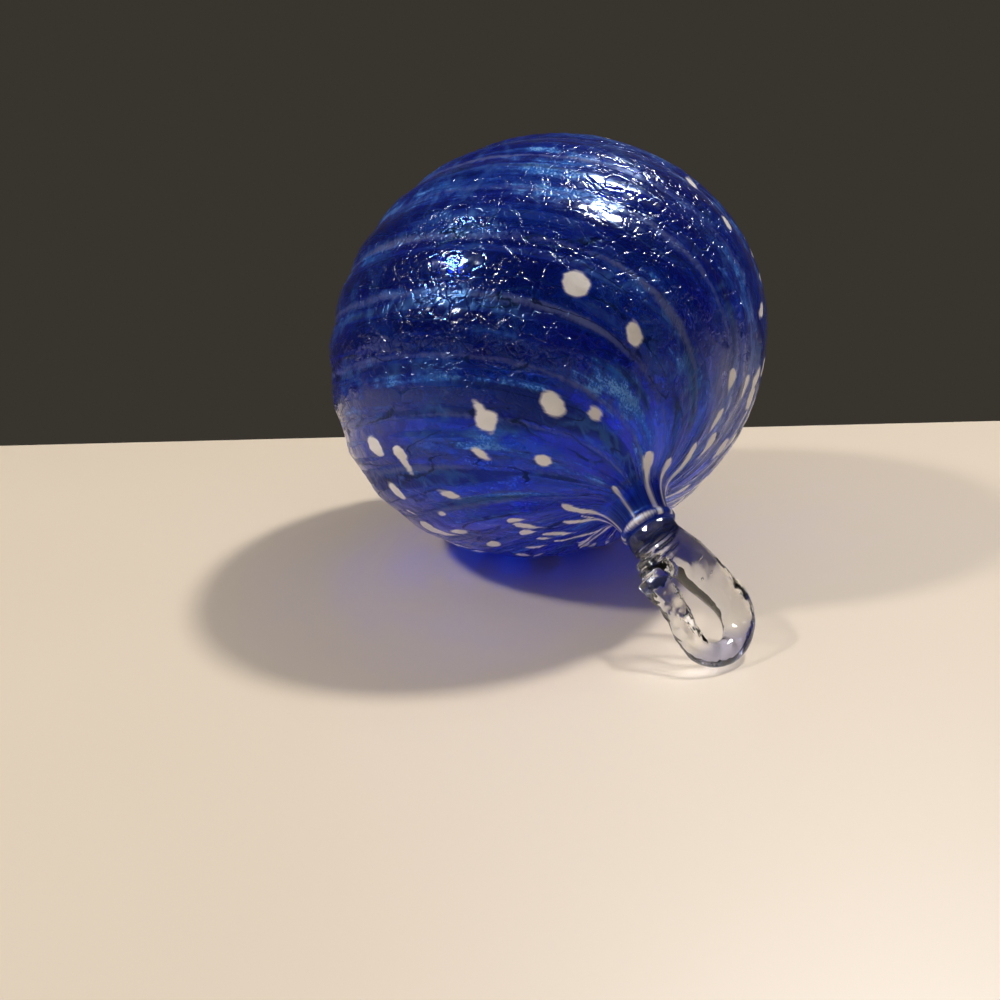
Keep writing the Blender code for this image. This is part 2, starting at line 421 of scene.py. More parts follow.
def thinness(rib_degrees, turn_degrees, drawn):
    """1 where the coloured glass was drawn out thin and the ball goes pale, 0 elsewhere."""
    value = -0.25 + 0.35 * noise.noise(drawn * 0.12 + Vector((5, 1, 1)))
    return min(max(value + spots(THIN_PLACES, rib_degrees, turn_degrees), 0.0), 1.0)


def rib_line(rib_angle, drawn):
    """1 on the pale line that runs down each furrow between two ribs, 0 off it."""
    wobble = 0.06 * noise.noise(drawn * 0.13 + Vector((3, 3, 3))) + 0.03 * noise.noise(drawn * 0.5)
    pitch = RIBS * rib_angle / (2 * math.pi) + wobble
    off = abs(pitch - round(pitch))
    half = 0.042 * (1.0 + 0.9 * noise.noise(drawn * 0.25))
    strength = 0.8 + 0.6 * noise.noise(drawn * 0.09 + Vector((1, 8, 5)))
    return strength * (1.0 - smooth_step(off, 0.0, half * 2.8))


def neck_colour(turn_degrees):
    """1 on the dark blue lip, less on the shoulder and 0 on the ball."""
    return 1.0 - 0.4 * smooth_step(turn_degrees, 8, 15) - 0.6 * smooth_step(turn_degrees, 6.9, 8.4)


def relief(rib_angle, turn, drawn, even):
    """How far the outside stands off the plain ball in mm: ribs, crackle, slow waves, neck pleats."""
    fade_far = smooth_step((math.pi - turn) / math.radians(22.0) - 0.5)
    fade_neck = smooth_step(turn / math.radians(30.0) - 0.25)
    ribs = RIB_DEPTH * -0.5 * math.cos(RIBS * rib_angle) * fade_far * (0.25 + 0.75 * fade_neck)
    near, second = noise.voronoi(even / CELL + CELL_WARP * noise.noise_vector(even * 0.3))[0][:2]
    pillow = PILLOW_HEIGHT * (1.0 - smooth_step(near, 0.0, 0.9))
    groove = GROOVE_DEPTH * (1.0 - smooth_step(second - near, 0.0, 0.40))
    wave = WAVE_HEIGHT * noise.noise(drawn * 0.16)
    strength = smooth_step(turn, math.radians(8), math.radians(34))
    strength *= smooth_step(math.pi - turn, 0.05, 0.3)
    folded = Vector((drawn.x * 0.9, drawn.y * 0.9, turn * 3.0))
    pleat = PLEAT_HEIGHT * noise.noise(folded) * (1.0 - strength)
    pleat *= smooth_step(turn, math.radians(7), math.radians(12))
    return ribs + (pillow - groove + wave - CRACKLE_INSET) * strength + pleat - SKIN_INSET


def crackle(turn, drawn, chip):
    """How strong the fine crackle in the material is: fainter in places, at the neck and on the chips."""
    patch = 0.66 + 0.9 * noise.noise(drawn * 0.09 + Vector((2, 9, 4)))
    off_neck = 0.15 + 0.85 * smooth_step(turn, math.radians(12), math.radians(45))
    off_chip = 1.0 - 0.85 * smooth_step(chip, -0.6, 0.4)
    return min(max(patch, 0.35), 1.0) * off_neck * off_chip


# ---- meshes

def ball_outline(rings):
    """Radius and height from the far pole over the ball, the shoulder and the lip to the closed collar."""
    shoulder_turn = math.asin(SHOULDER_RADIUS / BALL_RADIUS)
    outline = [(0.0, -FAR_POLE)]
    for ring in range(1, rings + 1):
        outline.append(ball_point(math.pi - (math.pi - shoulder_turn) * ring / rings))
    start = Vector(outline[-1])
    bend = Vector((GROOVE_RADIUS + 0.6, start.y + 0.6))
    end = Vector((GROOVE_RADIUS, GROOVE_HEIGHT))
    for ring in range(1, SHOULDER_RINGS + 1):
        part = ring / SHOULDER_RINGS
        outline.append(tuple(start * (1 - part) ** 2 + bend * 2 * part * (1 - part) + end * part ** 2))
    lip_middle = (GROOVE_HEIGHT + COLLAR_HEIGHT) / 2
    for ring in range(1, LIP_RINGS):
        angle = -math.pi / 2 + math.pi * ring / LIP_RINGS
        outline.append((GROOVE_RADIUS + (LIP_RADIUS - GROOVE_RADIUS) * math.cos(angle),
                        lip_middle + (COLLAR_HEIGHT - GROOVE_HEIGHT) / 2 * math.sin(angle)))
    for radius in COLLAR_RINGS:
        outline.append((radius, COLLAR_HEIGHT))
    return outline


def spun(outline, steps):
    """The outline turned all the way round the neck axis."""
    builder = bmesh.new()
    points = [builder.verts.new((radius, 0.0, height)) for radius, height in outline]
    edges = [builder.edges.new(pair) for pair in zip(points, points[1:])]
    bmesh.ops.spin(builder, geom=points + edges, cent=(0, 0, 0), axis=(0, 0, 1), angle=2 * math.pi,
                   steps=steps, use_merge=True, use_duplicate=False)
    bmesh.ops.remove_doubles(builder, verts=builder.verts, dist=1e-4)
    bmesh.ops.recalc_face_normals(builder, faces=builder.faces)
    return builder


def mark_point(vertex, layers, angle, turn, radius):
    """Keep what the blower left at this point of the ball as attributes that the glass material reads."""
    degrees, turn_degrees = math.degrees(angle), math.degrees(turn)
    drawn = drawn_place(angle, turn)
    even = even_place(angle + twist_at(turn), turn)
    vertex[layers["drawn"]] = drawn
    vertex[layers["even"]] = even
    vertex[layers["pale_chip"]] = pale_glass(degrees, turn, radius, vertex.co.z)
    vertex[layers["crackle"]] = crackle(turn, drawn, vertex[layers["pale_chip"]])
    vertex[layers["thin_colour"]] = thinness(degrees, turn_degrees, drawn)
    vertex[layers["neck"]] = neck_colour(turn_degrees)
    vertex[layers["rib_line"]] = rib_line(angle, drawn)
    vertex[layers["dusk"]] = spots(DUSKY_BANDS, degrees, turn_degrees)
    vertex[layers["milk"]] = milkiness(degrees, turn_degrees, drawn)
    return drawn, even


def make_skin():
    """The outside of the ball, spun and then ribbed, twisted and crackled."""
    builder = spun(ball_outline(SKIN_RINGS), SKIN_STEPS)
    layers = {name: builder.verts.layers.float.new(name) for name in SKIN_VALUES}
    for name in SKIN_PLACES:
        layers[name] = builder.verts.layers.float_vector.new(name)
    laid = lay_down()
    for vertex in builder.verts:
        place = vertex.co
        radius = math.hypot(place.x, place.y)
        turn = math.atan2(radius / BALL_RADIUS, place.z / (NEAR_POLE if place.z > 0 else FAR_POLE))
        angle = math.atan2(place.y, place.x)
        drawn, even = mark_point(vertex, layers, angle, turn, radius)
        if radius > 1e-6 and place.z < GROOVE_HEIGHT - 0.5:
            place = place + place.normalized() * relief(angle, turn, drawn, even)
        place = laid @ (Matrix.Rotation(twist_at(turn), 3, "Z") @ place)
        vertex.co = (place.x, place.y, max(place.z, 0.0))
    return builder


def make_hollow():
    """The air inside: a gently waved hollow whose skin faces inwards."""
    ratio = 1.0 - WALL / BALL_RADIUS
    outline = [(0.0, -FAR_POLE * ratio)]
    for ring in range(1, HOLLOW_RINGS):
        radius, height = ball_point(math.pi * (1 - ring / HOLLOW_RINGS))
        outline.append((radius * ratio, height * ratio))
    outline.append((0.0, NEAR_POLE * ratio))
    hollow = spun(outline, HOLLOW_STEPS)
    laid = lay_down()
    for vertex in hollow.verts:
        place = vertex.co
        turn = math.atan2(math.hypot(place.x, place.y), place.z)
        angle = math.atan2(place.y, place.x)
        wave = 0.25 * noise.noise(drawn_place(angle, turn) * 0.12)
        wave -= 0.15 * math.cos(RIBS * angle) * math.sin(turn)
        vertex.co = laid @ (Matrix.Rotation(twist_at(turn), 3, "Z") @ (place + place.normalized() * wave))
    bmesh.ops.reverse_faces(hollow, faces=hollow.faces)
    for face in hollow.faces:
        face.material_index = 1
    return hollow


def make_orb_glass(skin, inside):
    builder = make_skin()
    hollow = make_hollow()
    inner = bpy.data.meshes.new("hollow")
    hollow.to_mesh(inner)
    hollow.free()
    builder.from_mesh(inner)
    bpy.data.meshes.remove(inner)
    bmesh.ops.scale(builder, vec=(MM, MM, MM), verts=builder.verts)
    return place_mesh("orb_glass", builder, (skin, inside))


def between(first, second, third, fourth, part):
    """Catmull-Rom value between the second and third of four."""
    return 0.5 * (
        2 * second
        + (third - first) * part
        + (2 * first - 5 * second + 4 * third - fourth) * part ** 2
        + (3 * second - first - 3 * third + fourth) * part ** 3)


def loop_frame():
    """Takes the loop's own axes to the ball as it lies."""
    collar = lay_down() @ Vector((0, 0, COLLAR_HEIGHT + GLASS_GAP))
    turned = Matrix.Rotation(LOOP_YAW, 4, "Z") @ Matrix.Rotation(LOOP_TILT, 4, "Y")
    return Matrix.Translation(collar) @ turned @ Matrix.Rotation(LOOP_ROLL, 4, "X")


def root_direction():
    """The neck's axis in the loop's own axes."""
    return loop_frame().to_3x3().inverted() @ lay_down().to_3x3() @ Vector((0, 0, 1))


def loop_stations(steps):
    """Middle, half width and half thickness of the rod at each step from the collar to its pressed end."""
    root_end = root_direction() * ROOT_LENGTH
    rows = [(0.0, 0.0, 0.0, ROOT_RADIUS, ROOT_RADIUS), (*root_end, ROOT_RADIUS, ROOT_RADIUS)]
    rows += LOOP_STATIONS
    rows = [rows[0]] + rows + [rows[-1]]
    stations = []
    for index in range(1, len(rows) - 2):
        for step in range(steps):
            quad = zip(rows[index - 1], rows[index], rows[index + 1], rows[index + 2])
            stations.append([between(*values, step / steps) for values in quad])
    stations.append(rows[-1])
    return [(Vector(row[:3]), row[3], row[4]) for row in stations]


def ring_places(stations, index, sides):
    """The oval outline of the rod at one station."""
    place, half_width, half_thickness = stations[index]
    ahead = stations[min(index + 1, len(stations) - 1)][0]
    behind = stations[max(index - 1, 0)][0]
    along = root_direction() if index == 0 else (ahead - behind).normalized()
    across = Vector((0, 0, 1)).cross(along).normalized()
    upward = along.cross(across)
    turns = [2 * math.pi * side / sides for side in range(sides)]
    return [place + across * half_width * math.cos(t) + upward * half_thickness * math.sin(t) for t in turns]


def drawn_rod(sides, steps):
    """The rod of clear glass, a disc extruded from station to station."""
    builder = bmesh.new()
    stations = loop_stations(steps)
    disc = bmesh.ops.create_circle(builder, cap_ends=True, segments=sides, radius=1.0)["verts"]
    for vertex, place in zip(disc, ring_places(stations, 0, sides)):
        vertex.co = place
    face = builder.faces[:][0]
    for index in range(1, len(stations)):
        grown = bmesh.ops.extrude_face_region(builder, geom=[face])["geom"]
        if index > 1:
            bmesh.ops.delete(builder, geom=[face], context="FACES_ONLY")
        face = next(item for item in grown if isinstance(item, bmesh.types.BMFace))
        for vertex, place in zip(face.verts, ring_places(stations, index, sides)):
            vertex.co = place
    bmesh.ops.recalc_face_normals(builder, faces=builder.faces)
    return builder


def fuse(builder, voxel):
    """One skin round everything in the mesh, as glass pressed together while soft."""
    item = place_mesh("soft glass", builder, ())
    mesh = item.data
    skin = item.modifiers.new("fused skin", "REMESH")
    skin.mode = "VOXEL"
    skin.voxel_size = voxel
    graph = bpy.context.evaluated_depsgraph_get()
    fused = bmesh.new()
    fused.from_mesh(item.evaluated_get(graph).to_mesh())
    bpy.data.objects.remove(item, do_unlink=True)
    bpy.data.meshes.remove(mesh)
    return fused


def crumple(place):
    """Dents and pincer folds of the loop in mm, by where a point is in the loop's own axes."""
    along, across, rise = place
    thin_arm = smooth_step(-across, 1.0, 3.0)
    thin_arm *= smooth_step(along, 9.0, 12.0) * smooth_step(26.0 - along, 0.0, 4.0)
    dents = 0.26 * noise.noise(Vector((along * 0.5, across * 0.9, rise * 0.9)))
    dents += 0.16 * noise.noise(Vector((along * 0.9, across * 2.2, rise * 2.2)))
    pinch = smooth_step(-across, -1.5, 1.5)
    pinch *= smooth_step(along, 2.2, 3.6) * smooth_step(7.5 - along, 0.0, 2.0)
    folds = 0.30 * math.sin(4.2 * along + 1.2 * across + 1.5 * noise.noise(place * 0.5))
    swells = 0.08 * noise.noise(Vector((along * 0.45, across * 0.3, rise * 0.3 + 4.0)))
    cords = 0.04 * noise.noise(Vector((along * 0.10, across * 0.7, rise * 0.7)))
    return thin_arm * dents + pinch * folds + swells + cords


def relax(builder, times):
    """Even out the skin, as heat does."""
    for _ in range(times):
        bmesh.ops.smooth_vert(builder, verts=builder.verts, factor=0.5,
                              use_axis_x=True, use_axis_y=True, use_axis_z=True)


def add_bubbles(builder):
    """Small bubbles trapped in the thick arm of the loop; their skins face inwards."""
    chooser = random.Random(3)
    places = []
    for _ in range(BUBBLES):
        places.append((chooser.uniform(8, 22), chooser.uniform(4.5, 7.0), chooser.uniform(-2, 2)))
    for place in places:
        radius = chooser.uniform(0.12, 0.25)
        bubble = bmesh.ops.create_icosphere(builder, subdivisions=2, radius=radius)["verts"]
        bmesh.ops.translate(builder, vec=place, verts=bubble)
        faces = {face for vertex in bubble for face in vertex.link_faces}
        bmesh.ops.reverse_faces(builder, faces=list(faces))


def stain_loop(builder):
    """Keep how much cobalt each point picked up, a dark root and a tinge beyond it, and painted shade at the
    tip.
    """
    stain = builder.verts.layers.float.new("cobalt_stain")
    tinge_and_tip_shade = builder.verts.layers.float.new("cobalt_tinge_and_tip_shade")
    pulled = builder.verts.layers.float_vector.new("pulled")
    for vertex in builder.verts:
        from_ball = vertex.co.dot(root_direction()) + 0.5 * noise.noise(vertex.co * 0.5)
        # painted shade: the tip is darkened like the tinge, for the dark blue ball seen bent through it
        painted_tip_shade = 0.45 * smooth_step(vertex.co.x, 22.0, 25.0)
        vertex[stain] = 0.95 * (1.0 - smooth_step(from_ball, 0.3, 1.5))
        vertex[tinge_and_tip_shade] = max(1.0 - smooth_step(from_ball, 0.5, 5.5), painted_tip_shade)
        vertex[pulled] = vertex.co


def make_hanging_loop(clear):
    builder = drawn_rod(ROD_SIDES, ROD_STEPS)
    pad = bmesh.ops.create_uvsphere(builder, u_segments=24, v_segments=16, radius=1.0)["verts"]
    bmesh.ops.scale(builder, vec=PAD_RADII, verts=pad)
    bmesh.ops.translate(builder, vec=PAD_PLACE, verts=pad)
    fused = fuse(builder, FUSED_VOXEL)
    relax(fused, 6)
    fused.normal_update()
    moves = [(vertex, vertex.normal * crumple(vertex.co)) for vertex in fused.verts]
    for vertex, move in moves:
        vertex.co += move
    relax(fused, 2)
    add_bubbles(fused)
    stain_loop(fused)
    bmesh.ops.transform(fused, matrix=loop_frame(), verts=fused.verts)
    for vertex in fused.verts:
        vertex.co.z = max(vertex.co.z, 0.0)
    bmesh.ops.scale(fused, vec=(MM, MM, MM), verts=fused.verts)
    return place_mesh("drawn_loop", fused, (clear,))


# ---- how light crosses the glass

def lamp_pass(tree, shader, tint):
    """Glass as the eye sees it, and a tinted clear pane for the light that lamps send through it."""
    shadow = add(tree, "LightPath").outputs["Is Shadow Ray"]
    pane = add(tree, "BsdfTransparent", {"Color": tint})
    both = add(tree, "MixShader", {0: shadow, 1: shader, 2: pane})
    add(tree, "OutputMaterial", {"Surface": both})


def seen_by_table(tree, shader, tint):
    """Bounced light meets a plain tinted pane here, so that it crosses the glass without sparkling."""
    bounced = add(tree, "LightPath").outputs["Is Diffuse Ray"]
    pane = add(tree, "BsdfTransparent", {"Color": tint})
    return add(tree, "MixShader", {0: bounced, 1: shader, 2: pane})


# ---- patterns in the cobalt glass
# The places "drawn" and "even" are in mm, and a pattern's scale says how many of it go to a centimetre.

def chip_cover(tree, drawn):
    """How far cream glass covers the blue, with a soft ragged edge, and its milky halo about 1 mm wide."""
    depth = add(tree, "Attribute", attribute_name="pale_chip").outputs["Fac"]
    grain = add(tree, "TexNoise", {"Vector": drawn, "Scale": 9 / CM, "Detail": 3.0})
    ragged = add(tree, "Math", {0: grain, 1: 0.9, 2: depth}, operation="MULTIPLY_ADD")
    cover = add(tree, "MapRange", {"Value": ragged, "From Min": 0.20, "From Max": 0.85}, **SOFT)
    halo = add(tree, "MapRange", {"Value": ragged, "From Min": -0.8, "From Max": 0.5, "To Max": 0.30}, **SOFT)
    return cover, halo


def furrow_lines(tree, even):
    """A pale lilac line down each furrow between two ribs, frayed where the crackle cuts it."""
    line = add(tree, "Attribute", attribute_name="rib_line").outputs["Fac"]
    fray = add(tree, "TexNoise", {"Vector": even, "Scale": 7.5 / CM, "Detail": 4.0, "Roughness": 0.65})
    frayed = add(tree, "Math", {0: fray, 1: 1.5, 2: line}, operation="MULTIPLY_ADD")
    return add(tree, "MapRange", {"Value": frayed, "From Min": 0.92, "From Max": 1.75})


def edge_cracks(tree, even, milk):
    """Thin wavy dark cracks that edge the clear windows and follow the twist."""
    wiggle = add(tree, "TexNoise", {"Vector": even, "Scale": 7 / CM, "Detail": 4.0, "Roughness": 0.6})
    wavy = add(tree, "Math", {0: wiggle, 1: 0.16, 2: milk}, operation="MULTIPLY_ADD")
    past_edge = add(tree, "Math", {0: wavy, 1: 0.14}, operation="ADD")
    off_edge = add(tree, "Math", {0: past_edge}, operation="ABSOLUTE")
    dark = add(tree, "MapRange", {"Value": off_edge, "From Min": 0.015, "From Max": 0.040,
                                  "To Min": 1.0, "To Max": 0.0})
    stretches = add(tree, "TexNoise", {"Vector": even, "Scale": 1.6 / CM})
    present = add(tree, "MapRange", {"Value": stretches, "From Min": 0.37, "From Max": 0.45})
    return add(tree, "Math", {0: dark, 1: present}, operation="MULTIPLY")


def dark_threads(tree, along_ribs, thin):
    """Darker threads along the ribs, where the colour was drawn out thin."""
    grain = add(tree, "TexNoise", {"Vector": along_ribs, "Scale": 5.5 / CM})
    threads = add(tree, "MapRange", {"Value": grain, "From Min": 0.52, "From Max": 0.60})
    on_thin = add(tree, "Math", {0: threads, 1: thin}, operation="MULTIPLY")
    return add(tree, "Math", {0: on_thin, 1: 0.6}, operation="MULTIPLY")


def torn_milk(tree, even, along_ribs, milk):
    """How milky the skin is, torn by the crackle and pulled out along the ribs."""
    torn = add(tree, "TexNoise", {"Vector": even, "Scale": 3 / CM, "Detail": 4.0, "Roughness": 0.6})
    pulled = add(tree, "TexNoise", {"Vector": along_ribs, "Scale": 5 / CM, "Detail": 3.0,
                                    "Roughness": 0.6})
    both = add(tree, "Math", {0: torn, 1: pulled}, operation="ADD")
    centred = add(tree, "Math", {0: both, 1: 1.0}, operation="SUBTRACT")
    return add(tree, "Math", {0: centred, 1: 1.5, 2: milk}, operation="MULTIPLY_ADD")


def painted_azure_glints(tree, drawn, even, milky):
    """Painted glints: bright specks about 0.5 mm across, as fine as the render shows, standing in for light
    caught by the crackle; only where the bloom is dense.
    """
    clusters = add(tree, "TexNoise", {"Vector": drawn, "Scale": 3.5 / CM, "Detail": 3.0, "Roughness": 0.6})
    specks = add(tree, "TexNoise", {"Vector": even, "Scale": 19 / CM, "Roughness": 0.8})
    clustered = add(tree, "Math", {0: clusters, 1: 0.8, 2: specks}, operation="MULTIPLY_ADD")
    bright = add(tree, "MapRange", {"Value": clustered, "From Min": 0.86, "From Max": 1.02})
    dense = add(tree, "MapRange", {"Value": milky, "From Min": 0.25, "From Max": 0.8}, **SOFT)
    return add(tree, "Math", {0: bright, 1: dense}, operation="MULTIPLY")


def frosted_net(tree, even):
    """A faint frosted net between dark cells 5 to 9 mm across, in some places only."""
    drift = add(tree, "TexNoise", {"Vector": even, "Scale": 1.6 / CM}).outputs["Color"]
    shift = add(tree, "VectorMath", {0: drift, 1: (7.0, 7.0, 7.0)}, operation="MULTIPLY")
    bent = add(tree, "VectorMath", {0: even, 1: shift}, operation="ADD")
    cells = add(tree, "TexVoronoi", {"Vector": bent, "Scale": 1.5 / CM}, feature="DISTANCE_TO_EDGE")
    net = add(tree, "MapRange", {"Value": cells, "From Max": 0.20, "To Min": 1.0, "To Max": 0.0}, **SOFT)
    places = add(tree, "TexNoise", {"Vector": even, "Scale": 0.7 / CM, "Detail": 1.0})
    present = add(tree, "MapRange", {"Value": places, "From Min": 0.42, "From Max": 0.56})
    return add(tree, "Math", {0: net, 1: present}, operation="MULTIPLY")


def dusky_smoke(tree, along_ribs):
    """Dusky purple glass that flows along the ribs."""
    dusk = add(tree, "Attribute", attribute_name="dusk").outputs["Fac"]
    flow = add(tree, "TexNoise", {"Vector": along_ribs, "Scale": 1.4 / CM, "Detail": 4.0,
                                  "Roughness": 0.55})
    dusky = add(tree, "Math", {0: dusk, 1: 0.16, 2: flow}, operation="MULTIPLY_ADD")
    return add(tree, "MapRange", {"Value": dusky, "From Min": 0.52, "From Max": 0.62}, **SOFT)


def skin_patterns(tree, drawn, even):
    """Each pattern in the skin of the ball by name, from 0 where there is none of it to 1."""
    milk = add(tree, "Attribute", attribute_name="milk").outputs["Fac"]
    found = {name: add(tree, "Attribute", attribute_name=name).outputs["Fac"]
             for name in ("thin_colour", "neck")}
    along_ribs = add(tree, "VectorMath", {0: drawn, 1: (1.0, 1.0, 0.30)}, operation="MULTIPLY")
    found["cream"], found["halo"] = chip_cover(tree, drawn)
    found["lines"] = furrow_lines(tree, even)
    found["net"] = frosted_net(tree, even)
    found["smoke"] = dusky_smoke(tree, along_ribs)
    milky = torn_milk(tree, even, along_ribs, milk)
    found["bloom"] = add(tree, "MapRange", {"Value": milky, "From Min": -0.25, "From Max": 0.85}, **SOFT)
    found["azure"] = add(tree, "MapRange", {"Value": milky, "From Min": 0.20, "From Max": 0.70}, **SOFT)
    # painted glints: bright azure specks standing in for light caught by the crackle
    found["painted_glints"] = painted_azure_glints(tree, drawn, even, milky)
    cracks = add(tree, "Math", {0: edge_cracks(tree, even, milk), 1: 0.9}, operation="MULTIPLY")
    threads = dark_threads(tree, along_ribs, found["thin_colour"])
    found["dark"] = add(tree, "Math", {0: cracks, 1: threads}, operation="MAXIMUM")
    return found


def haze_share(tree, found):
    """How much of the surface is haze, line or chip and not clear glass, from 0 to 1."""
    share = add(tree, "MapRange", {"Value": found["bloom"], "To Min": 0.08, "To Max": 0.60})
    # the painted glints count as haze too
    for name, strength in (("painted_glints", 0.72), ("smoke", 0.66), ("net", 0.20), ("lines", 0.50)):
        share = add(tree, "Math", {0: found[name], 1: strength, 2: share}, operation="MULTIPLY_ADD")
    neck = add(tree, "Math", {0: found["neck"], 1: 0.75}, operation="MULTIPLY")
    for cover in (found["halo"], neck, found["dark"], found["cream"]):
        share = add(tree, "Math", {0: share, 1: cover}, operation="MAXIMUM", use_clamp=True)
    return share


def haze_colour(tree, drawn, found):
    """Colour of that haze: each pattern is laid over the ones before it, and cream chips over them all."""
    drift = add(tree, "TexNoise", {"Vector": drawn, "Scale": 2.2 / CM, "Detail": 3.0})
    patchy = add(tree, "MapRange", {"Value": drift, "From Min": 0.35, "From Max": 0.65})
    deep = add(tree, "Mix", {"Factor": patchy, "A": linear("1428d8"), "B": linear("1858f0")}, **COLOURS)
    azure = found["azure"]
    frosted = add(tree, "Mix", {"Factor": azure, "A": linear("3c5cb4"), "B": linear("3488ff")}, **COLOURS)
    neck_blue = add(tree, "Mix", {"Factor": patchy, "A": linear("1c2c88"), "B": linear("3458c0")}, **COLOURS)
    colour = add(tree, "Mix", {"Factor": found["bloom"], "A": deep, "B": frosted}, **COLOURS)
    layers = (
        # the first layer is painted glints: azure specks for light caught by the crackle
        ("painted_glints", 1.0, linear("8cc8ff")),
        ("smoke", 0.8, linear("1e1850")),
        ("net", 0.6, linear("4878c4")),
        ("lines", 1.0, linear("6870a8")),
        ("thin_colour", 0.8, linear("a4b0dc")),
        ("neck", 1.0, neck_blue),
        ("dark", 1.0, linear("070b3c")),
        ("cream", 1.0, linear("faf4ee")),
    )
    for name, strength, shade in layers:
        cover = add(tree, "Math", {0: found[name], 1: strength}, operation="MULTIPLY")
        colour = add(tree, "Mix", {"Factor": cover, "A": colour, "B": shade}, **COLOURS)
    return colour


def clear_tint(tree, drawn, thin):
    """Tint of the clear glass, whose two walls together colour what is behind it.

    Away from the neck it is darker: painted shade, for the dark room seen through that side of the ball.
    That begins 16 mm along the gather, 45 degrees of turn from the neck, and is full at 27 mm, 76 degrees.
    """
    drift = add(tree, "TexNoise", {"Vector": drawn, "Scale": 1.1 / CM, "Detail": 3.0, "Roughness": 0.55})
    depth = add(tree, "MapRange", {"Value": drift, "From Min": 0.40, "From Max": 0.60}, **SOFT)
    violet = add(tree, "Mix", {"Factor": depth, "A": linear("2230f4"), "B": linear("2468ff")}, **COLOURS)
    along = add(tree, "SeparateXYZ", {0: drawn}).outputs["Z"]
    # painted shade: the tint darkens away from the neck, for the dark room seen through that side
    painted_far_shade = add(tree, "MapRange", {"Value": along, "From Min": 16, "From Max": 27, "To Max": 0.85}, **SOFT)
    body = add(tree, "Mix", {"Factor": painted_far_shade, "A": violet, "B": linear("0420b8")}, **COLOURS)
    return add(tree, "Mix", {"Factor": thin, "A": body, "B": linear("b8c8ff")}, **COLOURS)


def fine_crackle(tree, even):
    """Height in mm of finer crackle than the mesh holds: dimples, and grooves round cells of two sizes."""
    drift = add(tree, "TexNoise", {"Vector": even, "Scale": 4 / CM, "Detail": 1.0}).outputs["Color"]
    shift = add(tree, "VectorMath", {0: drift, 1: (2.4, 2.4, 2.4)}, operation="MULTIPLY")
    bent = add(tree, "VectorMath", {0: even, 1: shift}, operation="ADD")
    dimples = add(tree, "TexNoise", {"Vector": even, "Scale": 5.5 / CM, "Detail": 0.0})
    height = add(tree, "Math", {0: dimples, 1: 0.09}, operation="MULTIPLY")
    grooves = (                 # cells per cm, width in cells, patches of depth per cm, their range, depths
        (2.6, 0.09, 9, (0.35, 0.68), (0.05, 0.24)),
        (6, 0.15, 2.2, (0.42, 0.58), (0.00, 0.09)),
    )
    for cells_per_cm, width, patches_per_cm, (low, high), (shallow, deep) in grooves:
        cells = add(tree, "TexVoronoi", {"Vector": bent, "Scale": cells_per_cm / CM},
                    feature="DISTANCE_TO_EDGE")
        edge = add(tree, "MapRange", {"Value": cells, "From Max": width, "To Min": 1, "To Max": 0}, **SOFT)
        uneven = add(tree, "TexNoise", {"Vector": even, "Scale": patches_per_cm / CM, "Detail": 1.0})
        depth = add(tree, "MapRange", {"Value": uneven, "From Min": low, "From Max": high,
                                       "To Min": shallow, "To Max": deep})
        groove = add(tree, "Math", {0: edge, 1: depth}, operation="MULTIPLY")
        height = add(tree, "Math", {0: height, 1: groove}, operation="SUBTRACT")
    strength = add(tree, "Attribute", attribute_name="crackle").outputs["Fac"]
    return add(tree, "Math", {0: height, 1: strength}, operation="MULTIPLY")


def frosted_skin(tree, colour, cream, crackled):
    """Haze and chips: an opaque body that also glows with the light behind it, the chips least."""
    body = add(tree, "BsdfPrincipled", {
        "Base Color": colour, "Roughness": 0.33, "IOR": 1.5, "Specular Tint": linear("60b4ff"),
        "Normal": crackled})
    glowing = add(tree, "BsdfTranslucent", {"Color": colour})
    glow = add(tree, "MapRange", {"Value": cream, "To Min": 0.35, "To Max": 0.05})
    return add(tree, "MixShader", {0: glow, 1: body, 2: glowing})


def light_through(tree, drawn, haze, thin):
    """Tint of light that has crossed the wall: brightest where the glass is clear and met face on."""
    edge_on = add(tree, "LayerWeight", {"Blend": 0.5}).outputs["Facing"]
    facing = add(tree, "Math", {0: 1.0, 1: edge_on}, operation="SUBTRACT")
    face_on = add(tree, "Math", {0: facing, 1: 0.9}, operation="POWER")
    grain = add(tree, "TexNoise", {"Vector": drawn, "Scale": 2.5 / CM})
    broken = add(tree, "MapRange", {"Value": grain, "From Min": 0.35, "From Max": 0.70,
                                    "To Min": 0.45, "To Max": 1.4})
    clear = add(tree, "Math", {0: 1.0, 1: haze}, operation="SUBTRACT")
    clear_face_on = add(tree, "Math", {0: clear, 1: face_on}, operation="MULTIPLY")
    share = add(tree, "Math", {0: clear_face_on, 1: broken}, operation="MULTIPLY", use_clamp=True)
    bright = add(tree, "Mix", {"Factor": thin, "A": linear("2860d4"), "B": linear("a0b0f4")}, **COLOURS)
    return add(tree, "Mix", {"Factor": share, "A": linear("000061"), "B": bright}, **COLOURS)


# ---- materials

